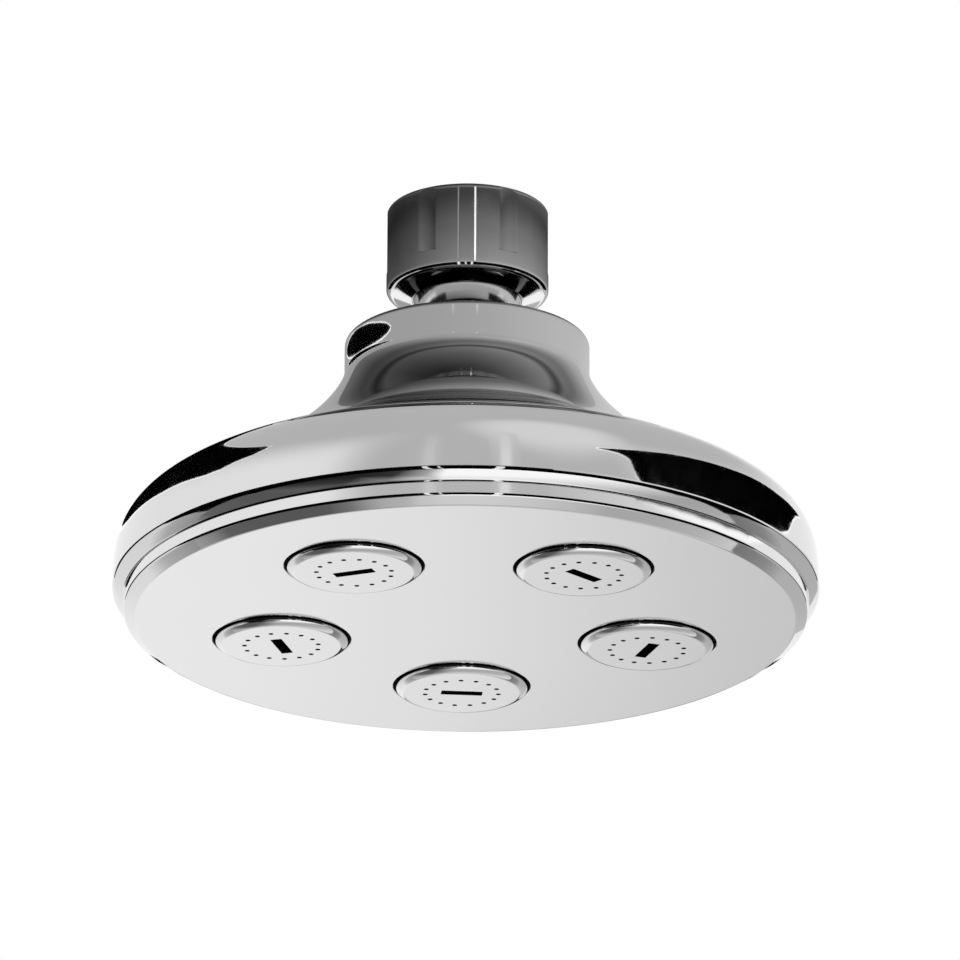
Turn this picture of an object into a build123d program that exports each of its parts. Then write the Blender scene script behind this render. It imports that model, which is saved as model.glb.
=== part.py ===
from build123d import *
import os
from math import acos, asin, cos, degrees, radians, sin, sqrt

# Round shower head on a ball joint, in millimetres. Z points up along the shower arm, and the origin lies on the
# axis at the bottom of the inlet thread, where the end of the arm seats.

# Fits shared by several pieces
running_clearance = 0.06
screw_clearance = 0.05
push_clearance = 0.05

# Swivel nut
thread_diameter = 21.0
thread_length = 6.7
mouth_chamfer = 0.7
nut_wall = 2.8
nut_edge_round = 1.0
nut_foot_drop = 1.9
nut_foot_round = 1.15
lip_drop = 2.85
lip_land = 0.3
seal_bore_step = 0.45
flute_count = 6
flute_radius = 4.0
flute_depth = 0.4
flute_end_rise = 3.5

# Ball stem and what its counterbore holds
ball_diameter = 18.7
ball_drop = 5.7
crown_gap = 0.2
water_bore_diameter = 8.4
neck_diameter = 12.4
ball_to_collar = 10.1
flange_width = 2.0
flange_thickness = 2.2
flange_chamfer = 0.4
flange_flat_depth = 1.0
shank_diameter = 14.0
shank_length = 11.0
cartridge_diameter = 12.6
screen_recess = 0.6
screen_thickness = 0.5
screen_hole_diameter = 1.5
screen_hole_pitch = 2.1
screen_hole_rings = 2
regulator_thickness = 3.0
regulator_orifice_diameter = 2.4
regulator_port_diameter = 1.3
regulator_port_count = 6
regulator_seal_thickness = 0.8
regulator_seal_step = 0.4

# Ball seal
seal_foot_rise = 0.8

# Upper housing
head_diameter = 115.0
housing_height = 45.1
housing_wall = 2.3
collar_diameter = 40.1
collar_height = 5.5
collar_edge_round = 1.0
collar_cap_thickness = 4.0
boss_wall = 4.0
flare_drop = 3.85
flare_reach = 18.0
dome_slope = 20.0
dome_height = 17.7
shoulder_width = 11.9
shoulder_reach = 11.1
shoulder_drop = 9.5
rim_land = 0.2
rim_bevel_width = 1.8
rim_bevel_height = 1.45
rim_bevel_bulge = 0.05
side_land = 0.15
stem_washer_thickness = 1.0
stem_washer_inset = 0.6

# Face plate and its gasket
plate_inset = 1.85
plate_rim_height = 3.4
plate_thickness = 3.2
face_chamfer_width = 1.95
face_chamfer_height = 1.22
skirt_step = 1.0
skirt_wall = 3.0
skirt_height = 5.0
plate_gasket_thickness = 1.0
socket_boss_wall = 3.0
socket_boss_height = 7.0

# Spray nozzles: each one stops at its own angle when it is screwed home, counted from the tangent of the ring
nozzle_count = 5
nozzle_margin = 13.5
nozzle_ring_turn = 91.1
nozzle_stop_angles = (183.8, 1.1, 193.2, 9.0, 0.4)
nozzle_diameter = 21.6
nozzle_gap = 0.45
nozzle_stand = 1.15
nozzle_head_height = 2.6
nozzle_edge_width = 1.3
nozzle_edge_height = 0.8
edge_fullness = 0.3
nozzle_ledge = 2.15
nozzle_shank_wall = 1.3
nozzle_skin = 1.8
nozzle_gasket_thickness = 0.8
spray_hole_count = 15
spray_hole_diameter = 0.84
spray_ring_inset = 4.73
slot_end_margin = 2.67
slot_width = 1.9
slot_depth = 2.2
post_wall = 1.2

# Heights down the stack, from the top of the nut to the nozzles
nut_top_z = thread_length + mouth_chamfer
ball_z = -ball_drop
collar_top_z = ball_z - ball_to_collar
rim_z = collar_top_z - housing_height
face_z = rim_z - plate_rim_height

# Radii that several pieces share
thread_radius = thread_diameter / 2
nut_radius = thread_radius + nut_wall
ball_radius = ball_diameter / 2
seat_radius = ball_radius + running_clearance
seal_bore_radius = seat_radius + seal_bore_step
shank_radius = shank_diameter / 2
shank_bore_radius = shank_radius + screw_clearance
flange_radius = shank_radius + flange_width
water_bore_radius = water_bore_diameter / 2
cartridge_radius = cartridge_diameter / 2
head_radius = head_diameter / 2
collar_radius = collar_diameter / 2
plate_radius = head_radius - plate_inset
skirt_radius = plate_radius - skirt_step
skirt_bore_radius = skirt_radius + screw_clearance
skirt_inner_radius = skirt_radius - skirt_wall
nozzle_radius = nozzle_diameter / 2
socket_radius = nozzle_radius + nozzle_gap
nozzle_ring_radius = plate_radius - nozzle_margin - nozzle_radius
nozzle_shank_radius = nozzle_radius - nozzle_ledge
nozzle_bore_radius = nozzle_shank_radius + screw_clearance
spray_ring_radius = nozzle_radius - spray_ring_inset

# Heights that neighbouring pieces share
crown_z = -crown_gap
screen_top_z = crown_z - screen_recess
regulator_top_z = screen_top_z - screen_thickness
regulator_seal_top_z = regulator_top_z - regulator_thickness
counterbore_floor_z = regulator_seal_top_z - regulator_seal_thickness
shank_end_z = collar_top_z - shank_length
skirt_top_z = rim_z + skirt_height
ledge_z = skirt_top_z + plate_gasket_thickness
nozzle_back = nozzle_head_height - nozzle_stand
socket_depth = nozzle_back + nozzle_gasket_thickness


def turned(*outline):
    """Solid turned about the axis from the closed outline of its half section, given as radius and height."""
    return revolve(Plane.XZ * make_face(outline), Axis.Z)


def flat_ring(inner_radius, outer_radius, low_z, high_z):
    """Plain washer between two heights."""
    corners = [(inner_radius, low_z), (outer_radius, low_z), (outer_radius, high_z), (inner_radius, high_z)]
    return turned(Polyline(*corners, close=True))


def upright(radius, low_z, high_z):
    """Round bar along Z between two heights."""
    return Pos(0, 0, low_z) * Cylinder(radius, high_z - low_z, align=(Align.CENTER, Align.CENTER, Align.MIN))


def radius_on_ball(sphere_radius, rise):
    """Radius of a sphere's section at a height above its centre."""
    return sqrt(sphere_radius**2 - rise**2)


def swivel_nut():
    """Nut with the inlet thread's bore above and the ball's spherical seat below, fluted for grip."""
    lip_z = ball_z - lip_drop
    lip_radius = radius_on_ball(seat_radius, lip_drop)
    foot_z = ball_z - nut_foot_drop
    underside = Polyline(
        (lip_radius, lip_z),
        (lip_radius + lip_land, lip_z),
        (nut_radius - nut_foot_round, foot_z),
    )
    foot_edge = CenterArc((nut_radius - nut_foot_round, foot_z + nut_foot_round), nut_foot_round, -90, 90)
    wall = Line((nut_radius, foot_z + nut_foot_round), (nut_radius, nut_top_z - nut_edge_round))
    top_edge = CenterArc((nut_radius - nut_edge_round, nut_top_z - nut_edge_round), nut_edge_round, 0, 90)
    inside = Polyline(
        (nut_radius - nut_edge_round, nut_top_z),
        (thread_radius + mouth_chamfer, nut_top_z),
        (thread_radius, thread_length),
        (thread_radius, 0),
        (seal_bore_radius, 0),
        (seal_bore_radius, ball_z),
        (seat_radius, ball_z),
    )
    seat = CenterArc((0, ball_z), seat_radius, 0, -degrees(asin(lip_drop / seat_radius)))
    body = turned(underside, foot_edge, wall, top_edge, inside, seat)

    flute_end_z = foot_z + flute_end_rise
    cutter = upright(flute_radius, flute_end_z, nut_top_z + nut_edge_round)
    flute_axis_radius = nut_radius + flute_radius - flute_depth
    return body - PolarLocations(flute_axis_radius, flute_count) * cutter


def ball_seal():
    """Seat washer: a rubber ring whose inner face is the ball's own sphere."""
    foot_z = ball_z + seal_foot_rise
    outer_radius = seal_bore_radius - push_clearance
    top_angle = degrees(asin(ball_drop / seat_radius))
    foot_angle = degrees(asin(seal_foot_rise / seat_radius))
    sphere_face = CenterArc((0, ball_z), seat_radius, foot_angle, top_angle - foot_angle)
    back = Polyline(
        (radius_on_ball(seat_radius, ball_drop), 0),
        (outer_radius, 0),
        (outer_radius, foot_z),
        (radius_on_ball(seat_radius, seal_foot_rise), foot_z),
    )
    return turned(sphere_face, back)


def ball_stem():
    """Hollow ball, neck, flange with spanner flats, and the shank that screws into the housing."""
    neck_radius = neck_diameter / 2
    crown_rise = crown_z - ball_z
    crown_angle = degrees(asin(crown_rise / ball_radius))
    neck_angle = degrees(acos(neck_radius / ball_radius))
    counterbore_radius = cartridge_radius + push_clearance
    flange_top_z = collar_top_z + flange_thickness
    ball = CenterArc((0, ball_z), ball_radius, crown_angle, -crown_angle - neck_angle)
    lower = Polyline(
        (neck_radius, ball_z - radius_on_ball(ball_radius, neck_radius)),
        (neck_radius, flange_top_z),
        (flange_radius - flange_chamfer, flange_top_z),
        (flange_radius, flange_top_z - flange_chamfer),
        (flange_radius, collar_top_z),
        (shank_radius, collar_top_z),
        (shank_radius, shank_end_z),
        (water_bore_radius, shank_end_z),
        (water_bore_radius, counterbore_floor_z),
        (counterbore_radius, counterbore_floor_z),
        (counterbore_radius, crown_z),
        (radius_on_ball(ball_radius, crown_rise), crown_z),
    )
    body = turned(ball, lower)
    beside_flat = Box(2 * flange_radius, flange_width, flange_thickness, align=(Align.CENTER, Align.MIN, Align.MIN))
    flat_cut = Pos(0, flange_radius - flange_flat_depth, collar_top_z) * beside_flat
    return body - flat_cut - Rot(0, 0, 180) * flat_cut


def inlet_screen():
    """Strainer disc with a hexagonal field of holes."""
    disc = upright(cartridge_radius, regulator_top_z, screen_top_z)
    hole = upright(screen_hole_diameter / 2, regulator_top_z, screen_top_z)
    row_pitch = screen_hole_pitch * sqrt(3) / 2
    holes = []
    for row in range(-screen_hole_rings, screen_hole_rings + 1):
        for column in range(-screen_hole_rings, screen_hole_rings + 1):
            if abs(row + column) <= screen_hole_rings:
                holes.append(Pos((column + row / 2) * screen_hole_pitch, row * row_pitch, 0) * hole)
    return disc - holes


def flow_regulator():
    """Flow disc with a centre orifice and a ring of small ports."""
    disc = upright(cartridge_radius, regulator_seal_top_z, regulator_top_z)
    orifice = upright(regulator_orifice_diameter / 2, regulator_seal_top_z, regulator_top_z)
    port = upright(regulator_port_diameter / 2, regulator_seal_top_z, regulator_top_z)
    port_ring_radius = (water_bore_radius + regulator_orifice_diameter / 2) / 2
    return disc - orifice - PolarLocations(port_ring_radius, regulator_port_count) * port


def regulator_seal():
    """Washer between the flow disc and the floor of the ball's counterbore."""
    inner_radius = water_bore_radius + regulator_seal_step
    return flat_ring(inner_radius, cartridge_radius, counterbore_floor_z, regulator_seal_top_z)


def stem_washer():
    """Washer in the collar's recess, under the stem's flange."""
    outer_radius = flange_radius - stem_washer_inset - push_clearance
    return flat_ring(shank_bore_radius, outer_radius, collar_top_z - stem_washer_thickness, collar_top_z)


def falling_curve(start, end, slope, reach, drop):
    """Curve that leaves its start down a slope and arrives at its end straight down."""
    run = (reach * cos(radians(slope)), -reach * sin(radians(slope)))
    return Bezier(start, (start[0] + run[0], start[1] + run[1]), (end[0], end[1] + drop), end)


def flaring_curve(start, end, slope, reach, drop):
    """Curve that leaves its start straight down and arrives at its end down a slope."""
    run = (reach * cos(radians(slope)), -reach * sin(radians(slope)))
    return Bezier(start, (start[0], start[1] - drop), (end[0] - run[0], end[1] - run[1]), end)


def upper_housing():
    """Domed casting: bevelled rim, side, shoulder, concave flare and collar, hollow below a threaded boss."""
    dome_point = (head_radius - shoulder_width, rim_z + dome_height)
    bevel_foot = (head_radius - rim_bevel_width, rim_z + rim_land)
    bevel_head = (head_radius, bevel_foot[1] + rim_bevel_height)
    side_top = (head_radius, bevel_head[1] + side_land)
    flare_top_z = collar_top_z - collar_height
    rim = Polyline((skirt_bore_radius, ledge_z), (skirt_bore_radius, rim_z), (bevel_foot[0], rim_z), bevel_foot)
    bevel = SagittaArc(bevel_head, bevel_foot, rim_bevel_bulge)
    side = Line(bevel_head, side_top)
    shoulder = falling_curve(dome_point, side_top, dome_slope, shoulder_reach, shoulder_drop)
    flare = flaring_curve((collar_radius, flare_top_z), dome_point, dome_slope, flare_reach, flare_drop)
    collar = Line((collar_radius, flare_top_z), (collar_radius, collar_top_z - collar_edge_round))
    round_centre = (collar_radius - collar_edge_round, collar_top_z - collar_edge_round)
    collar_edge = CenterArc(round_centre, collar_edge_round, 0, 90)

    recess_radius = flange_radius - stem_washer_inset
    recess_z = collar_top_z - stem_washer_thickness
    boss_radius = shank_bore_radius + boss_wall
    cap_z = collar_top_z - collar_cap_thickness
    inner_collar_radius = collar_radius - housing_wall
    boss = Polyline(
        (collar_radius - collar_edge_round, collar_top_z),
        (recess_radius, collar_top_z),
        (recess_radius, recess_z),
        (shank_bore_radius, recess_z),
        (shank_bore_radius, shank_end_z),
        (boss_radius, shank_end_z),
        (boss_radius, cap_z),
        (inner_collar_radius, cap_z),
    )
    inset = (housing_wall * sin(radians(dome_slope)), housing_wall * cos(radians(dome_slope)))
    inner_dome = (dome_point[0] - inset[0], dome_point[1] - inset[1])
    inner_flare = flaring_curve((inner_collar_radius, cap_z), inner_dome, dome_slope, flare_reach, flare_drop)
    inner_share = (skirt_inner_radius - inner_dome[0]) / shoulder_width
    inner_shoulder = falling_curve(
        inner_dome,
        (skirt_inner_radius, ledge_z),
        dome_slope,
        shoulder_reach * inner_share,
        shoulder_drop * inner_share,
    )
    ledge = Line((skirt_inner_radius, ledge_z), (skirt_bore_radius, ledge_z))
    outside = (rim, bevel, side, shoulder, flare, collar, collar_edge)
    return turned(*outside, boss, inner_flare, inner_shoulder, ledge)


def plate_gasket():
    """Ring squeezed between the face plate's skirt and the housing's ledge."""
    return flat_ring(skirt_inner_radius, skirt_radius, skirt_top_z, ledge_z)


def nozzle_places():
    """Where each nozzle's axis meets the face, turned to the angle at which the nozzle stops."""
    places = []
    for index in range(nozzle_count):
        azimuth = nozzle_ring_turn + index * 360 / nozzle_count
        stop_angle = nozzle_stop_angles[index % len(nozzle_stop_angles)]
        ring_place = Rot(0, 0, azimuth) * Pos(nozzle_ring_radius, 0, face_z)
        places.append(ring_place * Rot(0, 0, 90 + stop_angle))
    return places


def face_plate():
    """Face with a chamfered edge, a skirt that goes up into the housing, and a threaded socket for each nozzle."""
    floor_z = face_z + plate_thickness
    section = Polyline(
        (0, face_z),
        (plate_radius - face_chamfer_width, face_z),
        (plate_radius, face_z + face_chamfer_height),
        (plate_radius, rim_z),
        (skirt_radius, rim_z),
        (skirt_radius, skirt_top_z),
        (skirt_inner_radius, skirt_top_z),
        (skirt_inner_radius, floor_z),
        (0, floor_z),
        close=True,
    )
    boss = upright(nozzle_bore_radius + socket_boss_wall, socket_depth, socket_boss_height)
    socket = upright(socket_radius, 0, socket_depth)
    socket += upright(nozzle_bore_radius, 0, socket_boss_height)
    plate = turned(section)
    for place in nozzle_places():
        plate = plate + place * boss - place * socket
    return plate


def nozzle():
    """Screw-in nozzle about its own axis, the plate's face at height zero: rounded head, hollow shank, spray holes."""
    front = -nozzle_stand
    face_radius = nozzle_radius - nozzle_edge_width
    edge_end = (nozzle_radius, front + nozzle_edge_height)
    edge = Bezier(
        (face_radius, front),
        (face_radius + edge_fullness * nozzle_edge_width, front),
        (nozzle_radius, front + (1 - edge_fullness) * nozzle_edge_height),
        edge_end,
    )
    skin_z = front + nozzle_skin
    chamber_radius = nozzle_shank_radius - nozzle_shank_wall
    slot_length = 2 * (spray_ring_radius - slot_end_margin)
    post_radius = slot_length / 2 + post_wall
    rest = Polyline(
        edge_end,
        (nozzle_radius, nozzle_back),
        (nozzle_shank_radius, nozzle_back),
        (nozzle_shank_radius, socket_boss_height),
        (chamber_radius, socket_boss_height),
        (chamber_radius, skin_z),
        (post_radius, skin_z),
        (post_radius, front + slot_depth + post_wall),
        (0, front + slot_depth + post_wall),
        (0, front),
        (face_radius, front),
    )
    spray_hole = upright(spray_hole_diameter / 2, front, skin_z)
    slot = Pos(0, 0, front) * Box(slot_length, slot_width, slot_depth, align=(Align.CENTER, Align.CENTER, Align.MIN))
    return turned(edge, rest) - PolarLocations(spray_ring_radius, spray_hole_count) * spray_hole - slot


def nozzle_gasket():
    """Washer behind a nozzle's head, on the floor of its socket."""
    return flat_ring(nozzle_bore_radius, socket_radius - push_clearance, nozzle_back, socket_depth)


nodes = {
    "swivel_nut": swivel_nut(),
    "ball_seal": ball_seal(),
    "ball_stem": ball_stem(),
    "inlet_screen": inlet_screen(),
    "flow_regulator": flow_regulator(),
    "regulator_seal": regulator_seal(),
    "stem_washer": stem_washer(),
    "upper_housing": upper_housing(),
    "plate_gasket": plate_gasket(),
    "face_plate": face_plate(),
}
for number, place in enumerate(nozzle_places(), start=1):
    nodes[f"nozzle_{number}"] = place * nozzle()
    nodes[f"nozzle_gasket_{number}"] = place * nozzle_gasket()

os.makedirs("parts", exist_ok=True)
for name, solid in nodes.items():
    export_step(solid, f"parts/{name}.step")
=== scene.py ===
from math import acos, asin, ceil, cos, degrees, pi, radians, sin, sqrt, tan

import bmesh
import bpy
from mathutils import Matrix, Vector


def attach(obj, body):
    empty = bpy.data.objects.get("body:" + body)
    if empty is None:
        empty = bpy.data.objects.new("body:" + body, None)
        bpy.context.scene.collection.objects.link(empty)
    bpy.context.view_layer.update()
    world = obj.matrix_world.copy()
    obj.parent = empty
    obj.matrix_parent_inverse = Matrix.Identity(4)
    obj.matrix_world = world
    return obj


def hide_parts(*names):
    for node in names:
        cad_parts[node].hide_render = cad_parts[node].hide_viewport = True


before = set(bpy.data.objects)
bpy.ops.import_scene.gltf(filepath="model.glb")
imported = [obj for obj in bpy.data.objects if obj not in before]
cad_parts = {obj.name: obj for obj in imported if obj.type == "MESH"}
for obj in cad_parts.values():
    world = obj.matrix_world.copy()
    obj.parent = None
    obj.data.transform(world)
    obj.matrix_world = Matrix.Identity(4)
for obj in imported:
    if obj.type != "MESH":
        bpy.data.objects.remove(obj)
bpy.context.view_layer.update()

# Sizes in millimetres, as the part's solids have them. Z is up along the shower arm, and the origin is where
# the arm's end seats in the nut.
MM = 0.001

# Swivel nut
THREAD_RADIUS = 10.5
THREAD_LENGTH = 6.7
THREAD_PITCH = 1.814
THREAD_RIDGE = 0.85
MOUTH_CHAMFER = 0.7
NUT_RADIUS = 13.3
NUT_TOP = 7.4
NUT_EDGE_ROUND = 1.0
NUT_FOOT = -7.6
NUT_FOOT_ROUND = 1.15
LIP_DROP = 2.85
LIP_LAND = 0.3
SEAT_RADIUS = 9.41
SEAL_BORE_RADIUS = 9.86
FLUTE_COUNT = 6
FLUTE_RADIUS = 4.0
FLUTE_DEPTH = 0.4
FLUTE_END = -4.1

# Ball stem
BALL_Z = -5.7
BALL_RADIUS = 9.35
CROWN_Z = -0.2
COUNTERBORE_RADIUS = 6.35
COUNTERBORE_FLOOR = -5.1
WATER_BORE_RADIUS = 4.2
NECK_RADIUS = 6.2
FLANGE_RADIUS = 9.0
FLANGE_TOP = -13.6
FLANGE_CHAMFER = 0.4
FLANGE_FLAT = 8.0
SHANK_RADIUS = 7.0
SHANK_END = -26.8

# Upper housing
HEAD_RADIUS = 57.5
COLLAR_TOP = -15.8
COLLAR_RADIUS = 20.05
COLLAR_EDGE_ROUND = 1.0
FLARE_TOP = -21.3
FLARE_DROP = 3.85
FLARE_REACH = 18.0
DOME_SLOPE = 20.0
DOME_POINT = (45.6, -43.2)
SHOULDER_REACH = 11.1
SHOULDER_DROP = 9.5
SHOULDER_WIDTH = 11.9
HOUSING_WALL = 2.3
SIDE_END = -59.1
BEVEL_HEAD = (57.5, -59.25)
BEVEL_FOOT = (55.7, -60.7)
BEVEL_BULGE = 0.05
RIM_Z = -60.9
LEDGE_Z = -54.9
SKIRT_BORE_RADIUS = 54.7
SKIRT_INNER_RADIUS = 51.65
RECESS_RADIUS = 8.4
RECESS_Z = -16.8
SHANK_BORE_RADIUS = 7.05
BOSS_RADIUS = 11.05
CAP_Z = -19.8
INNER_COLLAR_RADIUS = 17.75

# Face plate
FACE_Z = -64.3
FACE_RADIUS = 53.7
PLATE_RADIUS = 55.65
PLATE_CHAMFER_TOP = -63.08
PLATE_FLOOR = -61.1
SKIRT_RADIUS = 54.65
SKIRT_TOP = -55.9
SOCKET_RADIUS = 11.25
SOCKET_DEPTH = 2.25
SOCKET_BREAK = 0.15
NOZZLE_BORE_RADIUS = 8.7
SOCKET_BOSS_RADIUS = 11.7
SOCKET_BOSS_HEIGHT = 7.0

# Nozzles, about their own axis, with the plate's face at height zero
NOZZLE_COUNT = 5
NOZZLE_RING_RADIUS = 31.35
NOZZLE_RING_TURN = 91.1
NOZZLE_STOP_ANGLES = (183.8, 1.1, 193.2, 9.0, 0.4)
NOZZLE_RADIUS = 10.8
NOZZLE_FRONT = -1.15
NOZZLE_BACK = 1.45
NOZZLE_EDGE_WIDTH = 1.3
NOZZLE_EDGE_HEIGHT = 0.8
EDGE_FULLNESS = 0.3
NOZZLE_SHANK_RADIUS = 8.65
NOZZLE_CHAMBER_RADIUS = 7.35
NOZZLE_SKIN_Z = 0.65
NOZZLE_POST_RADIUS = 4.6
NOZZLE_POST_TOP = 2.25
SPRAY_HOLE_COUNT = 15
SPRAY_HOLE_RADIUS = 0.42
SPRAY_RING_RADIUS = 6.07
SLOT_LENGTH = 6.8
SLOT_WIDTH = 1.9
SLOT_DEPTH = 2.2

# Rounds and other finish that the solids leave out
EDGE_BREAK = 0.08
BORE_EDGE_ROUND = 0.12
RIM_EDGE_ROUND = 0.04
BEVEL_FOOT_ROUND = 0.3
BEVEL_HEAD_ROUND = 0.75
BEVEL_HEAD_CLEAR = 0.4
RECESS_EDGE_ROUND = 0.1
NECK_FILLET = 0.4
FACE_EDGE_ROUND = 0.7
CHAMFER_EDGE_ROUND = 0.5
PLATE_BACK_ROUND = 0.1
FLUTE_SOFTNESS = 0.12
CUTTER_LEAD = 0.6
DRILL_LENGTH = 4.0

# How finely the pieces are divided round their axis
NUT_STEPS = 384
STEM_STEPS = 256
HEAD_STEPS = 288
SOCKET_STEPS = 120
NOZZLE_STEPS = 144
HOLE_STEPS = 20


class Value:
    """A node's output socket. Arithmetic on it adds Math nodes to its tree."""

    def __init__(self, net, socket):
        self.net = net
        self.socket = socket

    def __add__(self, other):
        return self.net.math("ADD", self, other)

    def __sub__(self, other):
        return self.net.math("SUBTRACT", self, other)

    def __rsub__(self, other):
        return self.net.math("SUBTRACT", other, self)

    def __mul__(self, other):
        return self.net.math("MULTIPLY", self, other)

    def __truediv__(self, other):
        return self.net.math("DIVIDE", self, other)

    def __rtruediv__(self, other):
        return self.net.math("DIVIDE", other, self)

    def __mod__(self, other):
        return self.net.math("FLOORED_MODULO", self, other)

    def __lt__(self, other):
        return self.net.math("LESS_THAN", self, other)

    def __gt__(self, other):
        return self.net.math("GREATER_THAN", self, other)

    __radd__ = __add__
    __rmul__ = __mul__


class Made:
    """A node just made: its outputs by name or number."""

    def __init__(self, net, node):
        self.net = net
        self.node = node

    def __getitem__(self, key):
        return Value(self.net, self.node.outputs[key])


class Net:
    """A node tree that is being written."""

    def __init__(self, tree):
        self.tree = tree

    def node(self, kind, settings=None, sockets=None):
        """One node: its settings are set first, then each socket takes a value or a link."""
        node = self.tree.nodes.new(kind)
        for name, value in (settings or {}).items():
            setattr(node, name, value)
        for key, value in (sockets or {}).items():
            for part in value if isinstance(value, list) else [value]:
                if isinstance(part, Value):
                    self.tree.links.new(part.socket, node.inputs[key])
                else:
                    node.inputs[key].default_value = part
        return Made(self, node)

    def math(self, operation, *parts, clamp=False):
        settings = {"operation": operation, "use_clamp": clamp}
        return self.node("ShaderNodeMath", settings, dict(enumerate(parts)))[0]

    def ramp_up(self, value, low, high, out_low=0.0, out_high=1.0):
        """Smooth step of a value from one level to another."""
        sockets = {0: value, 1: low, 2: high, 3: out_low, 4: out_high}
        return self.node("ShaderNodeMapRange", {"interpolation_type": "SMOOTHSTEP"}, sockets)[0]

    def mix_colour(self, factor, first, second):
        sockets = {0: factor, 6: first, 7: second}
        return self.node("ShaderNodeMix", {"data_type": "RGBA"}, sockets)[2]

    def parts(self, vector):
        made = self.node("ShaderNodeSeparateXYZ", None, {0: vector})
        return made[0], made[1], made[2]

    def vector(self, x, y, z):
        return self.node("ShaderNodeCombineXYZ", None, {0: x, 1: y, 2: z})[0]

    def length(self, x, y):
        return self.math("SQRT", x * x + y * y)


def grey(level):
    return (level, level, level, 1)


# Finishes

DRIFT_SCALE = 38.0
HAZE_SCALE = 210.0
HAZE_EDGE = (0.48, 0.72)
HAZE_SHARE = 0.7
SPECK_SCALE = 1500.0
POLISH_SCALE = 900.0
TURNING_SCALE = 5200.0
MARK_HEIGHT = 0.00002
# Painted shade: near-black tone for the gap where the nozzles sit sunk in the plate's sockets, how far below
# the plate's face it starts, and the width of its edge.
SUNK_SHADE_TONE = 0.04
FOOT_SHADE_DROP = 0.25
SHADE_EDGE = 0.05
FACE_EDGE = (0.02, 0.2)
# How far past the sockets the plate's painted shade reaches.
SOCKET_CLEAR = 2.0


def new_material(name):
    material = bpy.data.materials.new(name)
    material.use_nodes = True
    material.node_tree.nodes.clear()
    return material, Net(material.node_tree)


def new_surface(name):
    """A material with its tree, and the place of each point in its piece's own frame."""
    material, net = new_material(name)
    return material, net, net.node("ShaderNodeTexCoord")["Object"]


def close_surface(net, colour, gloss, normal=None, metal=0.0):
    sockets = {"Base Color": colour, "Metallic": metal, "Roughness": gloss}
    if normal is not None:
        sockets["Normal"] = normal
    shader = net.node("ShaderNodeBsdfPrincipled", None, sockets)
    net.node("ShaderNodeOutputMaterial", None, {0: shader[0]})


def noise(net, place, scale, detail=3.0):
    sockets = {"Vector": place, "Scale": scale, "Detail": detail, "Roughness": 0.55}
    return net.node("ShaderNodeTexNoise", None, sockets)[0]


def bump(net, strength, distance, height):
    sockets = {"Strength": strength, "Distance": distance, "Height": height}
    return net.node("ShaderNodeBump", None, sockets)["Normal"]


def chrome(name, tone, low_gloss, high_gloss, ripple, centre=None):
    """Polished chrome plate: faint drift of tone, patches of dull water haze, and fine polishing marks.

    Where a centre is given, as for a nozzle, the marks are turning rings about the upright axis through it,
    and painted shade, near black, lies on the foot where it is sunk in the plate.
    """
    material, net, place = new_surface(name)
    drift = noise(net, place, DRIFT_SCALE, 2.0)
    haze = noise(net, place, HAZE_SCALE, 4.0)
    specks = noise(net, place, SPECK_SCALE, 2.0)
    film = net.ramp_up(haze, *HAZE_EDGE)
    gloss = low_gloss + (high_gloss - low_gloss) * (film * HAZE_SHARE + specks * (1 - HAZE_SHARE))
    colour = net.mix_colour(drift, grey(tone * 0.97), grey(tone * 1.03))
    if centre is None:
        marks = noise(net, place, POLISH_SCALE, 2.0)
    else:
        x, y, z = net.parts(place)
        radius = net.length(x - centre[0], y - centre[1])
        marks = noise(net, net.vector(radius, z, 0.0), TURNING_SCALE, 2.0)
        # Painted shade: the nozzle above a line just under the plate's face, in the socket's gap, is painted
        # near black.
        shade_z = FACE_Z - FOOT_SHADE_DROP
        sunk_shade = net.ramp_up(z, (shade_z - SHADE_EDGE) * MM, (shade_z + SHADE_EDGE) * MM)
        colour = net.mix_colour(sunk_shade, colour, grey(SUNK_SHADE_TONE))
    close_surface(net, colour, gloss, bump(net, ripple, MARK_HEIGHT, marks), 1.0)
    return material


def plate_finish(name, tone):
    """Chromed face plate: a face with fine turning rings, a glossier rim, and painted shade, near black, in
    the sockets.
    """
    material, net, place = new_surface(name)
    x, y, z = net.parts(place)
    radius = net.length(x, y)
    rings = noise(net, net.vector(radius, z, 0.0), TURNING_SCALE, 2.0)
    cloud = noise(net, place, 60.0)
    face = net.ramp_up(z, (FACE_Z + FACE_EDGE[0]) * MM, (FACE_Z + FACE_EDGE[1]) * MM, 1.0, 0.0)
    # Painted shade: the plate's surfaces above its face, out to just past the sockets, are painted near
    # black.
    sockets_reach = (NOZZLE_RING_RADIUS + SOCKET_RADIUS + SOCKET_CLEAR) * MM
    sunk_shade = (1.0 - face) * net.ramp_up(radius, sockets_reach, sockets_reach + MM, 1.0, 0.0)
    gloss = 0.05 + face * (0.03 + 0.03 * cloud + 0.02 * rings)
    polish = net.mix_colour(cloud, grey(tone * 0.985), grey(tone * 1.015))
    colour = net.mix_colour(sunk_shade, polish, grey(SUNK_SHADE_TONE))
    close_surface(net, colour, gloss, bump(net, 0.05, MARK_HEIGHT, rings * face), 1.0)
    return material


def rubber_finish():
    """Black moulded rubber with a fine grain and a patchy bloom."""
    material, net, place = new_surface("moulded_rubber")
    grain = noise(net, place, 2600.0)
    bloom = net.ramp_up(noise(net, place, 160.0), 0.4, 0.75)
    colour = net.mix_colour(bloom, grey(0.012), grey(0.035))
    close_surface(net, colour, 0.55 + 0.3 * grain, bump(net, 0.35, 0.00005, grain))
    return material


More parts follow.
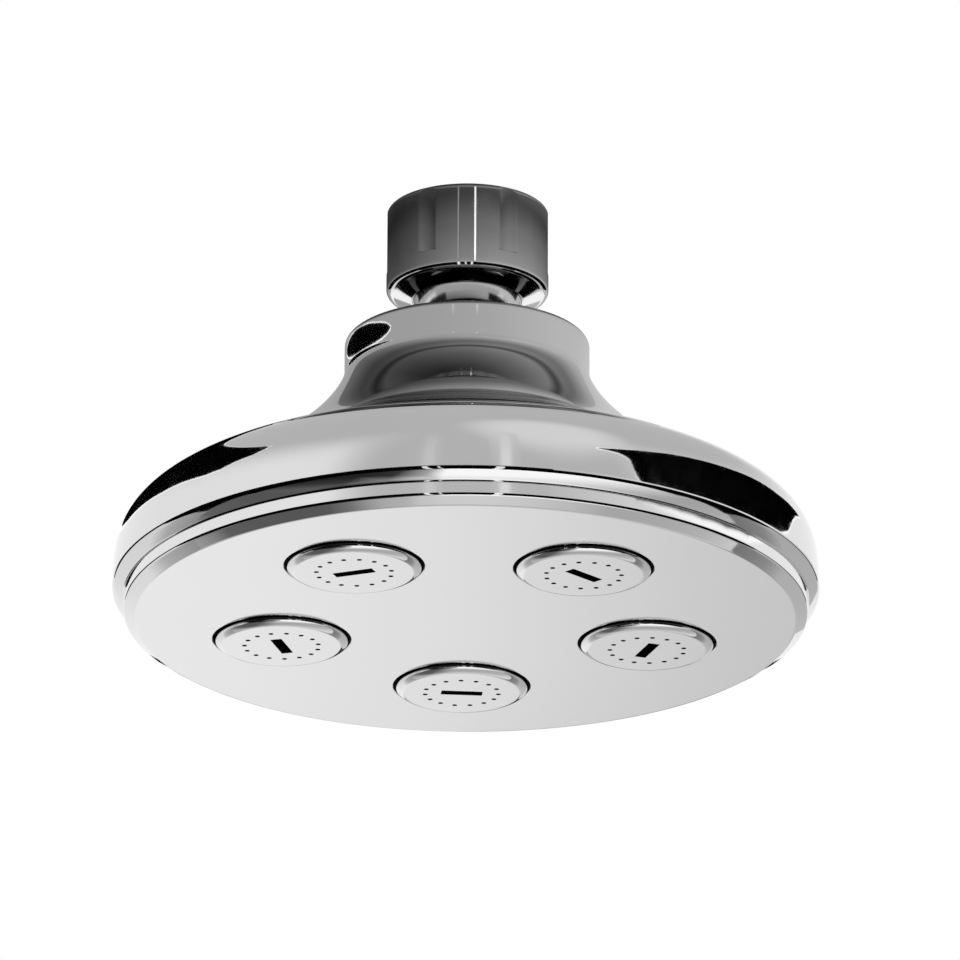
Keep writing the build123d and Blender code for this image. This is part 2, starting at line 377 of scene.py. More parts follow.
def plastic_finish():
    """White moulded plastic with a faint cast of lime."""
    material, net, place = new_surface("moulded_plastic")
    cloud = noise(net, place, 300.0, 4.0)
    colour = net.mix_colour(cloud, (0.62, 0.63, 0.62, 1), (0.78, 0.79, 0.77, 1))
    grain = noise(net, place, 3000.0)
    close_surface(net, colour, 0.35 + 0.2 * cloud, bump(net, 0.2, 0.00004, grain))
    return material


def steel_finish():
    """Rolled stainless sheet with a fine grain along X."""
    material, net, place = new_surface("rolled_steel")
    sockets = {"Vector": place, "Scale": (300.0, 9000.0, 3000.0)}
    grain = noise(net, net.node("ShaderNodeMapping", None, sockets)["Vector"], 1.0)
    colour = net.mix_colour(grain, grey(0.46), grey(0.6))
    close_surface(net, colour, 0.22 + 0.2 * grain, bump(net, 0.3, 0.00003, grain), 1.0)
    return material


def nozzle_azimuth(index):
    return radians(NOZZLE_RING_TURN + index * 360 / NOZZLE_COUNT)


def nozzle_centre(index):
    turn = nozzle_azimuth(index)
    return NOZZLE_RING_RADIUS * MM * cos(turn), NOZZLE_RING_RADIUS * MM * sin(turn)


nut_chrome = chrome("nut_chrome", 0.70, 0.06, 0.16, 0.12)
ball_chrome = chrome("ball_chrome", 0.72, 0.14, 0.20, 0.05)
housing_chrome = chrome("housing_chrome", 0.72, 0.04, 0.10, 0.05)
face_chrome = plate_finish("face_chrome", 0.75)
nozzle_chromes = [
    chrome(f"nozzle_chrome_{index + 1}", 0.74, 0.06, 0.11, 0.10, nozzle_centre(index))
    for index in range(NOZZLE_COUNT)
]
rubber = rubber_finish()
plastic = plastic_finish()
steel = steel_finish()


# Half sections of the turned pieces


def spread(start, end, steps):
    """Even steps from one number to another."""
    return [start + (end - start) * step / steps for step in range(steps + 1)]


def arc(centre, radius, start, end, steps):
    """Points of an arc about a centre, between two angles in degrees."""
    turns = [radians(angle) for angle in spread(start, end, steps)]
    return [(centre[0] + radius * cos(turn), centre[1] + radius * sin(turn)) for turn in turns]


def bezier(first, second, third, fourth, steps):
    """Points of a cubic curve from its end points and handles."""
    points = []
    for t in spread(0.0, 1.0, steps):
        s = 1 - t
        weights = (s**3, 3 * s * s * t, 3 * s * t * t, t**3)
        corners = (first, second, third, fourth)
        points.append(tuple(sum(w * c[axis] for w, c in zip(weights, corners)) for axis in (0, 1)))
    return points


def bulged(start, end, bulge, steps):
    """Points of a shallow arc that stands out to the right of the way from start to end."""
    run = Vector(end) - Vector(start)
    out = Vector((run.y, -run.x)).normalized()
    shares = spread(0.0, 1.0, steps)
    return [tuple(Vector(start) + run * t + out * (4 * bulge * t * (1 - t))) for t in shares]


def rows(radius, low, high, steps):
    """Points straight up or down a wall."""
    return [(radius, height) for height in spread(low, high, steps)]


def rounded_corner(before, corner, after, size, steps=6):
    """Points of a small round between two straight edges."""
    here = Vector(corner)
    back = (Vector(before) - here).normalized()
    on = (Vector(after) - here).normalized()
    half = acos(max(-1.0, min(1.0, back.dot(on)))) / 2
    reach = size / tan(half)
    middle = here + (back + on).normalized() * (size / sin(half))
    first = here + back * reach - middle
    last = here + on * reach - middle
    turn = first.angle_signed(last)
    swings = [Matrix.Rotation(angle, 2) for angle in spread(0.0, -turn, steps)]
    return [tuple(middle + swing @ first) for swing in swings]


EDGE_GUARD = 0.05
LONG_RUN = 0.7


def section(*steps):
    """Closed outline from corners (radius, height and, where the edge is broken, its round) and point runs.

    Long straight runs get a point close to each end, which keeps the shading of flats and walls even.
    """
    corners = []
    for step in steps:
        if isinstance(step, list):
            corners += [(radius, height, 0) for radius, height in step]
        else:
            corners.append((*step, 0)[:3])
    rounded = []
    for index, (radius, height, size) in enumerate(corners):
        if size:
            before = corners[index - 1][:2]
            after = corners[(index + 1) % len(corners)][:2]
            rounded += rounded_corner(before, (radius, height), after, size)
        else:
            rounded.append((radius, height))
    outline = []
    for index, point in enumerate(rounded):
        start = Vector(point)
        run = Vector(rounded[(index + 1) % len(rounded)]) - start
        if outline and (Vector(outline[-1]) - start).length < 1e-6:
            continue
        outline.append(point)
        if run.length > LONG_RUN:
            step = run.normalized() * EDGE_GUARD
            outline.append(tuple(start + step))
            outline.append(tuple(start + run - step))
    return outline


def slope_run(reach):
    return reach * cos(radians(DOME_SLOPE)), -reach * sin(radians(DOME_SLOPE))


def shoulder_points(start, end, reach, drop, steps):
    """Curve that leaves its start down the dome's slope and arrives straight down."""
    run = slope_run(reach)
    return bezier(start, (start[0] + run[0], start[1] + run[1]), (end[0], end[1] + drop), end, steps)


def flare_points(start, end, steps):
    """Curve that leaves its start straight down and arrives down the dome's slope."""
    run = slope_run(FLARE_REACH)
    return bezier(start, (start[0], start[1] - FLARE_DROP), (end[0] - run[0], end[1] - run[1]), end, steps)


def housing_section():
    inset = (HOUSING_WALL * sin(radians(DOME_SLOPE)), HOUSING_WALL * cos(radians(DOME_SLOPE)))
    inner_dome = (DOME_POINT[0] - inset[0], DOME_POINT[1] - inset[1])
    share = (SKIRT_INNER_RADIUS - inner_dome[0]) / SHOULDER_WIDTH
    shoulder = shoulder_points(DOME_POINT, (HEAD_RADIUS, SIDE_END), SHOULDER_REACH, SHOULDER_DROP, steps=72)
    flare = flare_points((COLLAR_RADIUS, FLARE_TOP), DOME_POINT, steps=80)
    inner_end = (SKIRT_INNER_RADIUS, LEDGE_Z)
    inner_sizes = (SHOULDER_REACH * share, SHOULDER_DROP * share)
    inner_shoulder = shoulder_points(inner_dome, inner_end, *inner_sizes, steps=20)
    collar_centre = (COLLAR_RADIUS - COLLAR_EDGE_ROUND, COLLAR_TOP - COLLAR_EDGE_ROUND)
    return section(
        (SKIRT_BORE_RADIUS, LEDGE_Z),
        (SKIRT_BORE_RADIUS, RIM_Z, BORE_EDGE_ROUND),
        (BEVEL_FOOT[0], RIM_Z, RIM_EDGE_ROUND),
        (*BEVEL_FOOT, BEVEL_FOOT_ROUND),
        bulged(BEVEL_FOOT, BEVEL_HEAD, BEVEL_BULGE, steps=10)[2:-2],
        (*BEVEL_HEAD, BEVEL_HEAD_ROUND),
        [point for point in shoulder[::-1] if point[1] > BEVEL_HEAD[1] + BEVEL_HEAD_CLEAR],
        flare[::-1],
        arc(collar_centre, COLLAR_EDGE_ROUND, 0, 90, steps=14),
        (RECESS_RADIUS, COLLAR_TOP, RECESS_EDGE_ROUND),
        (RECESS_RADIUS, RECESS_Z),
        (SHANK_BORE_RADIUS, RECESS_Z),
        (SHANK_BORE_RADIUS, SHANK_END),
        (BOSS_RADIUS, SHANK_END),
        (BOSS_RADIUS, CAP_Z),
        flare_points((INNER_COLLAR_RADIUS, CAP_Z), inner_dome, steps=24),
        inner_shoulder,
    )


def nut_section():
    lip_radius = sqrt(SEAT_RADIUS**2 - LIP_DROP**2)
    foot_centre = (NUT_RADIUS - NUT_FOOT_ROUND, NUT_FOOT + NUT_FOOT_ROUND)
    top_centre = (NUT_RADIUS - NUT_EDGE_ROUND, NUT_TOP - NUT_EDGE_ROUND)
    lip_angle = -degrees(asin(LIP_DROP / SEAT_RADIUS))
    below_flutes = FLUTE_END - 0.2
    on_flutes = FLUTE_END + 0.3
    return section(
        (lip_radius, BALL_Z - LIP_DROP),
        (lip_radius + LIP_LAND, BALL_Z - LIP_DROP, EDGE_BREAK),
        arc(foot_centre, NUT_FOOT_ROUND, -90, 0, steps=18),
        rows(NUT_RADIUS, foot_centre[1], below_flutes, steps=5)[1:],
        rows(NUT_RADIUS, below_flutes, on_flutes, steps=12)[1:],
        rows(NUT_RADIUS, on_flutes, top_centre[1], steps=12)[1:],
        arc(top_centre, NUT_EDGE_ROUND, 0, 90, steps=14),
        (THREAD_RADIUS + MOUTH_CHAMFER, NUT_TOP, EDGE_BREAK),
        rows(THREAD_RADIUS, THREAD_LENGTH, 0.0, steps=84),
        (SEAL_BORE_RADIUS, 0.0),
        (SEAL_BORE_RADIUS, BALL_Z),
        arc((0, BALL_Z), SEAT_RADIUS, 0, lip_angle, steps=16)[:-1],
    )


def stem_section():
    crown_angle = degrees(asin((CROWN_Z - BALL_Z) / BALL_RADIUS))
    neck_angle = degrees(acos(NECK_RADIUS / BALL_RADIUS))
    return section(
        arc((0, BALL_Z), BALL_RADIUS, crown_angle, -neck_angle, steps=64),
        (NECK_RADIUS, FLANGE_TOP, NECK_FILLET),
        (FLANGE_RADIUS - FLANGE_CHAMFER, FLANGE_TOP, EDGE_BREAK),
        (FLANGE_RADIUS, FLANGE_TOP - FLANGE_CHAMFER, EDGE_BREAK),
        (FLANGE_RADIUS, COLLAR_TOP),
        (SHANK_RADIUS, COLLAR_TOP),
        (SHANK_RADIUS, SHANK_END),
        (WATER_BORE_RADIUS, SHANK_END),
        (WATER_BORE_RADIUS, COUNTERBORE_FLOOR),
        (COUNTERBORE_RADIUS, COUNTERBORE_FLOOR),
        (COUNTERBORE_RADIUS, CROWN_Z, EDGE_BREAK),
    )


def plate_section():
    return section(
        (0, FACE_Z),
        (FACE_RADIUS, FACE_Z, FACE_EDGE_ROUND),
        (PLATE_RADIUS, PLATE_CHAMFER_TOP, CHAMFER_EDGE_ROUND),
        (PLATE_RADIUS, RIM_Z, PLATE_BACK_ROUND),
        (SKIRT_RADIUS, RIM_Z),
        (SKIRT_RADIUS, SKIRT_TOP),
        (SKIRT_INNER_RADIUS, SKIRT_TOP),
        (SKIRT_INNER_RADIUS, PLATE_FLOOR),
        (0, PLATE_FLOOR),
    )


def socket_section():
    """Cutter for a nozzle's socket and its threaded bore, with the socket's edge broken."""
    return section(
        (0, -CUTTER_LEAD),
        (SOCKET_RADIUS + SOCKET_BREAK + CUTTER_LEAD, -CUTTER_LEAD),
        (SOCKET_RADIUS, SOCKET_BREAK),
        (SOCKET_RADIUS, SOCKET_DEPTH),
        (NOZZLE_BORE_RADIUS, SOCKET_DEPTH),
        (NOZZLE_BORE_RADIUS, SOCKET_BOSS_HEIGHT + CUTTER_LEAD),
        (0, SOCKET_BOSS_HEIGHT + CUTTER_LEAD),
    )


def boss_section():
    return section(
        (0, SOCKET_DEPTH),
        (SOCKET_BOSS_RADIUS, SOCKET_DEPTH),
        (SOCKET_BOSS_RADIUS, SOCKET_BOSS_HEIGHT),
        (0, SOCKET_BOSS_HEIGHT),
    )


def nozzle_section():
    face_radius = NOZZLE_RADIUS - NOZZLE_EDGE_WIDTH
    edge_end = (NOZZLE_RADIUS, NOZZLE_FRONT + NOZZLE_EDGE_HEIGHT)
    face_handle = (face_radius + EDGE_FULLNESS * NOZZLE_EDGE_WIDTH, NOZZLE_FRONT)
    wall_handle = (NOZZLE_RADIUS, edge_end[1] - EDGE_FULLNESS * NOZZLE_EDGE_HEIGHT)
    return section(
        (0, NOZZLE_FRONT),
        bezier((face_radius, NOZZLE_FRONT), face_handle, wall_handle, edge_end, steps=16),
        (NOZZLE_RADIUS, NOZZLE_BACK),
        (NOZZLE_SHANK_RADIUS, NOZZLE_BACK),
        (NOZZLE_SHANK_RADIUS, SOCKET_BOSS_HEIGHT),
        (NOZZLE_CHAMBER_RADIUS, SOCKET_BOSS_HEIGHT),
        (NOZZLE_CHAMBER_RADIUS, NOZZLE_SKIN_Z),
        (NOZZLE_POST_RADIUS, NOZZLE_SKIN_Z),
        (NOZZLE_POST_RADIUS, NOZZLE_POST_TOP),
        (0, NOZZLE_POST_TOP),
    )


# Geometry trees: lengths here are in metres

MERGE_REACH = 2e-7
COLUMN_GATHER = 0.78
OUTER_WALL_GAP = 0.0015
FLUTE_RUNOUT = 0.00018
RIDGE_FLANK = -1.32
RIDGE_CREST = 1.16
THREAD_LEAD_RATE = 1400.0
THREAD_MATCH = 0.00002
FLANGE_MATCH = 0.00001
AXIS_GUARD = 0.0001


def new_tree(name, inputs):
    """An empty geometry tree with inputs, named by kind, after its geometry, and its group input node."""
    tree = bpy.data.node_groups.new(name, "GeometryNodeTree")
    tree.interface.new_socket("Geometry", in_out="INPUT", socket_type="NodeSocketGeometry")
    for kind, labels in inputs.items():
        for label in labels:
            tree.interface.new_socket(label, in_out="INPUT", socket_type="NodeSocket" + kind)
    tree.interface.new_socket("Geometry", in_out="OUTPUT", socket_type="NodeSocketGeometry")
    net = Net(tree)
    return tree, net, net.node("NodeGroupInput")


def close_tree(net, geometry, finish):
    """Ends a tree with its instances made real and its finish set."""
    real = net.node("GeometryNodeRealizeInstances", None, {0: geometry})[0]
    dressed = net.node("GeometryNodeSetMaterial", None, {"Geometry": real, "Material": finish})[0]
    net.node("NodeGroupOutput", None, {0: dressed})


def set_places(net, shape, places):
    return net.node("GeometryNodeSetPosition", None, {"Geometry": shape, "Position": places})[0]


def spin(net, outline, steps, crowd=None):
    """Turns an outline about Z. Where crowd gives a count, columns gather at that many even places."""
    count = net.node("GeometryNodeAttributeDomainSize", None, {0: outline})["Point Count"]
    across = steps + 1
    sheet = net.node("GeometryNodeMeshGrid", None, {"Vertices X": count + 1, "Vertices Y": across})["Mesh"]
    index = net.node("GeometryNodeInputIndex")[0]
    row = net.math("FLOOR", index / across) % count
    turn = (index % across) * (-2 * pi) / steps
    if crowd is not None:
        turn = turn - net.math("SINE", turn * crowd) * COLUMN_GATHER / crowd
    position = net.node("GeometryNodeInputPosition")[0]
    sample = {"data_type": "FLOAT_VECTOR", "domain": "POINT"}
    sockets = {"Geometry": outline, "Value": position, "Index": row}
    point = net.node("GeometryNodeSampleIndex", sample, sockets)[0]
    radius, _, height = net.parts(point)
    place = net.vector(radius * net.math("COSINE", turn), radius * net.math("SINE", turn), height)
    sockets = {"Geometry": set_places(net, sheet, place), "Distance": MERGE_REACH}
    return net.node("GeometryNodeMergeByDistance", None, sockets)[0]


def turned_tree():
    """A plain turned piece."""
    tree, net, given = new_tree("turned_piece", {"Int": ["Steps"], "Material": ["Finish"]})
    close_tree(net, spin(net, given["Geometry"], given["Steps"]), given["Finish"])
    return tree


def nut_tree():
    """The nut: a turned piece with grip flutes down its wall and a helical thread in its mouth."""
    flute_sizes = ["Flute radius", "Flute axis", "Flute end", "Flute softness"]
    thread_sizes = ["Thread radius", "Thread length", "Pitch", "Ridge"]
    inputs = {"Int": ["Steps", "Flutes"], "Float": flute_sizes + thread_sizes, "Material": ["Finish"]}
    tree, net, given = new_tree("swivel_nut_piece", inputs)
    body = spin(net, given["Geometry"], given["Steps"], given["Flutes"])

    x, y, z = net.parts(net.node("GeometryNodeInputPosition")[0])
    radius = net.length(x, y)
    turn = net.math("ARCTAN2", y, x)
    sector = (2 * pi) / given["Flutes"]
    off = (turn + sector * 0.5) % sector - sector * 0.5
    aside = given["Flute axis"] * net.math("SINE", off)
    reach = given["Flute radius"] * given["Flute radius"] - aside * aside
    cut = given["Flute axis"] * net.math("COSINE", off) - net.math("SQRT", net.math("MAXIMUM", reach, 0.0))
    fluted = net.math("SMOOTH_MIN", radius, cut, given["Flute softness"])
    outside = radius > given["Thread radius"] + OUTER_WALL_GAP
    above_end = net.ramp_up(z, given["Flute end"], given["Flute end"] + FLUTE_RUNOUT)
    outer = outside * above_end * (fluted - radius)

    phase = (z / given["Pitch"] - turn / (2 * pi)) % 1.0
    rise = net.math("ABSOLUTE", phase * 2.0 - 1.0)
    ridge = net.math("MULTIPLY_ADD", rise, RIDGE_FLANK, RIDGE_CREST, clamp=True)
    lead_in = net.math("MULTIPLY", z, THREAD_LEAD_RATE, clamp=True)
    lead_out = net.math("MULTIPLY", given["Thread length"] - z, THREAD_LEAD_RATE, clamp=True)
    on_thread = net.math("COMPARE", radius, given["Thread radius"], THREAD_MATCH)
    inner = on_thread * ridge * lead_in * lead_out * given["Ridge"]

    scale = (radius + outer - inner) / net.math("MAXIMUM", radius, AXIS_GUARD)
    place = net.vector(x * scale, y * scale, z)
    close_tree(net, set_places(net, body, place), given["Finish"])
    return tree


def stem_tree():
    """The ball stem: a turned piece with two spanner flats on its flange."""
    inputs = {"Int": ["Steps"], "Float": ["Flat", "Flange foot", "Flange top"], "Material": ["Finish"]}
    tree, net, given = new_tree("ball_stem_piece", inputs)
    body = spin(net, given["Geometry"], given["Steps"])
    x, y, z = net.parts(net.node("GeometryNodeInputPosition")[0])
    flattened = net.math("MAXIMUM", net.math("MINIMUM", y, given["Flat"]), given["Flat"] * -1.0)
    on_flange = (z > given["Flange foot"] - FLANGE_MATCH) * (z < given["Flange top"] + FLANGE_MATCH)
    place = net.vector(x, y + on_flange * (flattened - y), z)
    close_tree(net, set_places(net, body, place), given["Finish"])
    return tree


def ring_of(net, shape, count, radius, turn):
    """Copies of a shape on a circle about Z, each turned to face out."""
    points = net.node("GeometryNodeMeshLine", None, {"Count": count})["Mesh"]
    index = net.node("GeometryNodeInputIndex")[0]
    angle = turn + index * (2 * pi) / count
    place = net.vector(radius * net.math("COSINE", angle), radius * net.math("SINE", angle), 0.0)
    facing = net.vector(0.0, 0.0, angle)
    sockets = {"Points": set_places(net, points, place), "Instance": shape, "Rotation": facing}
    copies = net.node("GeometryNodeInstanceOnPoints", None, sockets)[0]
    return net.node("GeometryNodeRealizeInstances", None, {0: copies})[0]


def boolean(net, operation, first, second):
    if operation == "UNION":
        sockets = {"Mesh 2": [first, second]}
    else:
        sockets = {"Mesh 1": first, "Mesh 2": second}
    settings = {"operation": operation, "solver": "EXACT"}
    return net.node("GeometryNodeMeshBoolean", settings, sockets)["Mesh"]


def outline_of(net, given, name):
    """The outline held by another object, read in that object's own place."""
    return net.node("GeometryNodeObjectInfo", None, {"Object": given[name]})["Geometry"]


def plate_tree():
    """The face plate: a turned plate with a ring of threaded bosses and nozzle sockets."""
    inputs = {
        "Int": ["Steps", "Socket steps", "Sockets"],
        "Float": ["Ring radius", "Ring turn", "Face height"],
        "Object": ["Boss outline", "Socket outline"],
        "Material": ["Finish"],
    }
    tree, net, given = new_tree("face_plate_piece", inputs)
    plate = spin(net, given["Geometry"], given["Steps"])
    lift = net.vector(0.0, 0.0, given["Face height"])
    rings = []
    for name in ("Boss outline", "Socket outline"):
        shape = spin(net, outline_of(net, given, name), given["Socket steps"])
        ring = ring_of(net, shape, given["Sockets"], given["Ring radius"], given["Ring turn"])
        rings.append(net.node("GeometryNodeTransform", None, {"Geometry": ring, "Translation": lift})[0])
    bossed = boolean(net, "UNION", plate, rings[0])
    close_tree(net, boolean(net, "DIFFERENCE", bossed, rings[1]), given["Finish"])
    return tree


def nozzle_tree():
    """A spray nozzle: a turned piece with a ring of spray holes and a coin slot, put in its place."""
    inputs = {
        "Int": ["Steps", "Holes"],
        "Float": ["Hole radius", "Hole ring", "Hole depth", "Front", "Turn"],
        "Vector": ["Slot size", "Place"],
        "Material": ["Finish"],
    }
    tree, net, given = new_tree("nozzle_piece", inputs)
    body = spin(net, given["Geometry"], given["Steps"])
    sockets = {"Vertices": HOLE_STEPS, "Radius": given["Hole radius"], "Depth": given["Hole depth"]}
    drill = net.node("GeometryNodeMeshCylinder", None, sockets)["Mesh"]
    holes = ring_of(net, drill, given["Holes"], given["Hole ring"], 0.0)
    front = net.vector(0.0, 0.0, given["Front"])
    holes = net.node("GeometryNodeTransform", None, {"Geometry": holes, "Translation": front})[0]
    slot = net.node("GeometryNodeMeshCube", None, {"Size": given["Slot size"]})["Mesh"]
    slot = net.node("GeometryNodeTransform", None, {"Geometry": slot, "Translation": front})[0]
    cut = boolean(net, "DIFFERENCE", boolean(net, "DIFFERENCE", body, holes), slot)
    turn = net.vector(0.0, 0.0, given["Turn"])
    sockets = {"Geometry": cut, "Translation": given["Place"], "Rotation": turn}
    placed = net.node("GeometryNodeTransform", None, sockets)[0]
    close_tree(net, placed, given["Finish"])
    return tree


def outline_object(name, outline):
    """An object that holds an outline's points, in metres, in the XZ plane."""
    mesh = bpy.data.meshes.new(name)
    mesh.from_pydata([(radius * MM, 0, height * MM) for radius, height in outline], [], [])
    made = bpy.data.objects.new(name, mesh)
    bpy.context.scene.collection.objects.link(made)
    return made


SHARP_ANGLE = radians(32)


def grow(name, outline, tree, inputs):
    """Runs a geometry tree on an outline and keeps the result as a plain closed mesh at the origin."""
    seed = outline_object(name + "_outline", outline)
    modifier = seed.modifiers.new("grow", "NODES")
    modifier.node_group = tree
    items = tree.interface.items_tree
    sockets = {item.name: item.identifier for item in items if item.in_out == "INPUT"}
    for label, value in inputs.items():
        modifier[sockets[label]] = value
    graph = bpy.context.evaluated_depsgraph_get()
    mesh = bpy.data.meshes.new_from_object(seed.evaluated_get(graph))
    mesh.name = name
    bpy.data.objects.remove(seed)
    shell = bmesh.new()
    shell.from_mesh(mesh)
    bmesh.ops.remove_doubles(shell, verts=shell.verts, dist=MERGE_REACH)
    bmesh.ops.recalc_face_normals(shell, faces=shell.faces)
    shell.to_mesh(mesh)
    shell.free()
    mesh.shade_smooth()
    mesh.set_sharp_from_angle(angle=SHARP_ANGLE)
    piece = bpy.data.objects.new(name, mesh)
    bpy.context.scene.collection.objects.link(piece)
    return piece


def dress(piece, body, slot, *nodes):
    """Puts a finished piece on its body, in place of the solids that it stands for."""
    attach(piece, body)
    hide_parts(*nodes)


# Pieces

nut = grow(
    "nut_shell",
    nut_section(),
    nut_tree(),
    {
        "Steps": NUT_STEPS,
        "Flutes": FLUTE_COUNT,
        "Flute radius": FLUTE_RADIUS * MM,
        "Flute axis": (NUT_RADIUS + FLUTE_RADIUS - FLUTE_DEPTH) * MM,
        "Flute end": FLUTE_END * MM,
        "Flute softness": FLUTE_SOFTNESS * MM,
        "Thread radius": THREAD_RADIUS * MM,
        "Thread length": THREAD_LENGTH * MM,
        "Pitch": THREAD_PITCH * MM,
        "Ridge": THREAD_RIDGE * MM,
        "Finish": nut_chrome,
    },
)
dress(nut, "nut", "nut_chrome", "swivel_nut")

stem = grow(
    "stem_shell",
    stem_section(),
    stem_tree(),
    {
        "Steps": STEM_STEPS,
        "Flat": FLANGE_FLAT * MM,
        "Flange foot": COLLAR_TOP * MM,
        "Flange top": FLANGE_TOP * MM,
        "Finish": ball_chrome,
    },
)
dress(stem, "head", "ball_chrome", "ball_stem")

housing = grow(
    "housing_shell",
    housing_section(),
    turned_tree(),
    {"Steps": HEAD_STEPS, "Finish": housing_chrome},
)
dress(housing, "head", "housing_chrome", "upper_housing")

boss_outline = outline_object("boss_outline", boss_section())
socket_outline = outline_object("socket_outline", socket_section())
plate = grow(
    "face_plate_shell",
    plate_section(),
    plate_tree(),
    {
        "Steps": HEAD_STEPS,
        "Socket steps": SOCKET_STEPS,
        "Sockets": NOZZLE_COUNT,
        "Ring radius": NOZZLE_RING_RADIUS * MM,
        "Ring turn": radians(NOZZLE_RING_TURN),
        "Face height": FACE_Z * MM,
        "Boss outline": boss_outline,
        "Socket outline": socket_outline,
        "Finish": face_chrome,
    },
)
dress(plate, "head", "face_chrome", "face_plate")
for cutter in (boss_outline, socket_outline):
    bpy.data.objects.remove(cutter)

nozzle_rule = nozzle_tree()
for index in range(NOZZLE_COUNT):
    x, y = nozzle_centre(index)
    nozzle = grow(
        f"nozzle_shell_{index + 1}",
        nozzle_section(),
        nozzle_rule,
        {
            "Steps": NOZZLE_STEPS,
            "Holes": SPRAY_HOLE_COUNT,
            "Hole radius": SPRAY_HOLE_RADIUS * MM,
            "Hole ring": SPRAY_RING_RADIUS * MM,
            "Hole depth": DRILL_LENGTH * MM,
            "Front": NOZZLE_FRONT * MM,
            "Slot size": (SLOT_LENGTH * MM, SLOT_WIDTH * MM, 2 * SLOT_DEPTH * MM),
            "Place": (x, y, FACE_Z * MM),
            "Turn": nozzle_azimuth(index) + radians(90 + NOZZLE_STOP_ANGLES[index]),
            "Finish": nozzle_chromes[index],
        },
    )
    dress(nozzle, "head", "nozzle_chrome", f"nozzle_{index + 1}")

# Solids that stay as they are, in their own finish
finishes = {"inlet_screen": steel, "flow_regulator": plastic}
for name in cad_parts:
    if name.endswith(("seal", "washer")) or "gasket" in name:
        finishes[name] = rubber
for name, finish in finishes.items():
    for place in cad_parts[name].material_slots:
        place.material = finish


# Stage: pale floor, white surroundings, and the cards and strip lights that the chrome mirrors

FLOOR_Z = -2.6
FLOOR_REACH = 12.0
WIDEST_STEP = 4.0


def stage_object(name, points, faces, material):
    mesh = bpy.data.meshes.new(name)
    mesh.from_pydata(points, [], faces)
    mesh.materials.append(material)
    made = bpy.data.objects.new(name, mesh)
    bpy.context.scene.collection.objects.link(made)
    return made


def floor_finish():
    material, net, place = new_surface("pale_floor")
    close_surface(net, net.mix_colour(noise(net, place, 0.8), grey(0.86), grey(0.9)), 0.8)
    return material


def card_light():
    """Even light of the level that each point of a card carries."""
    material, net = new_material("card_light")
    level = net.node("ShaderNodeAttribute", {"attribute_name": "level"})["Fac"]
    shader = net.node("ShaderNodeEmission", None, {"Color": level, "Strength": 1.0})
    net.node("ShaderNodeOutputMaterial", None, {0: shader[0]})
    return material


card_finish = card_light()


def card(name, points, faces, levels):
    """A card of light that shows in polished surfaces and nowhere else."""
    made = stage_object(name, points, faces, card_finish)
    made.data.attributes.new("level", "FLOAT", "POINT").data.foreach_set("value", levels)
    for rays in ("camera", "diffuse", "shadow", "transmission", "volume_scatter"):
        setattr(made, "visible_" + rays, False)


def about_axis(radius, azimuth, height):
    """A place round the axis, with azimuth 0 in front, counted to the right."""
    turn = radians(azimuth)
    return radius * sin(turn), -radius * cos(turn), height


def strip_card(name, pairs, levels):
    """Card between pairs of points."""
    points = [point for pair in pairs for point in pair]
    faces = [(first, first + 2, first + 3, first + 1) for first in range(0, len(points) - 2, 2)]
    card(name, points, faces, levels)


def curved_card(name, radius, outline):
    """Upright card round the axis, from azimuth, low and high edge and, where there is any, light at both."""
    pairs = []
    levels = []
    for azimuth, low, high, *light in outline:
        pairs.append([about_axis(radius, azimuth, height) for height in (low, high)])
        levels += light or [0.0, 0.0]
    strip_card(name, pairs, levels)


def ring_card(name, inner, outer, height, start, end, count=36):
    """Level dark card between two radii, from one azimuth to another."""
    azimuths = spread(start, end, count)
    pairs = [[about_axis(radius, azimuth, height) for radius in (inner, outer)] for azimuth in azimuths]
    strip_card(name, pairs, [0.0] * 2 * len(pairs))


def grid_card(name, across, points, levels):
    """Card over a grid of points that is stored row after row."""
    faces = []
    for first in range(len(points) - across):
        if (first + 1) % across:
            faces.append((first, first + 1, first + across + 1, first + across))
    card(name, points, faces, levels)


def finer(columns):
    """Columns with more between them, so that a card bent through them is round."""
    made = []
    for (start, low), (end, high) in zip(columns, columns[1:]):
        count = max(1, ceil((end - start) / WIDEST_STEP))
        made += [(start + (end - start) * s / count, low + (high - low) * s / count) for s in range(count)]
    return made + [columns[-1]]


def graded_card(name, columns, rows):
    """Card round the axis from columns (azimuth, light) and rows (radius, height, light): lights multiply."""
    columns = finer(columns)
    points = [about_axis(radius, azimuth, height) for radius, height, _ in rows for azimuth, _ in columns]
    levels = [row_level * column_level for _, _, row_level in rows for _, column_level in columns]
    grid_card(name, len(columns), points, levels)


def curved_sheet(name, radius, columns, rows):
    """Upright graded card, from rows (height, light)."""
    graded_card(name, columns, [(radius, height, level) for height, level in rows])


def graded_disc(name, height, columns, rows):
    """Level graded card, from rows (radius, light)."""
    graded_card(name, columns, [(radius, height, level) for radius, level in rows])


def round_card(name, radius, height, level, count=48):
    """Level round card over the axis, with even light."""
    points = [about_axis(radius, 360 * step / count, height) for step in range(count)]
    card(name, points, [tuple(range(count))], [level] * count)


def edged_flag(name, radius, outline, edge, level, lowest=-1.0):
    """Dark card with a bright one close behind it, which shows as a thin edge down to the lowest height."""
    curved_card(name, radius, outline)
    behind = [(azimuth, max(low - edge, lowest), high + edge, level, level) for azimuth, low, high in outline]
    turn = degrees(edge / radius)
    behind[0] = (behind[0][0] - turn, *behind[0][1:])
    behind[-1] = (behind[-1][0] + turn, *behind[-1][1:])
    curved_card(name + "_edge", radius * 1.004, behind)


def even_arc(start, end, low, high, low_level=0.0, high_level=0.0, count=24):
    """Outline of a curved card with straight edges."""
    return [(azimuth, low, high, low_level, high_level) for azimuth in spread(start, end, count)]


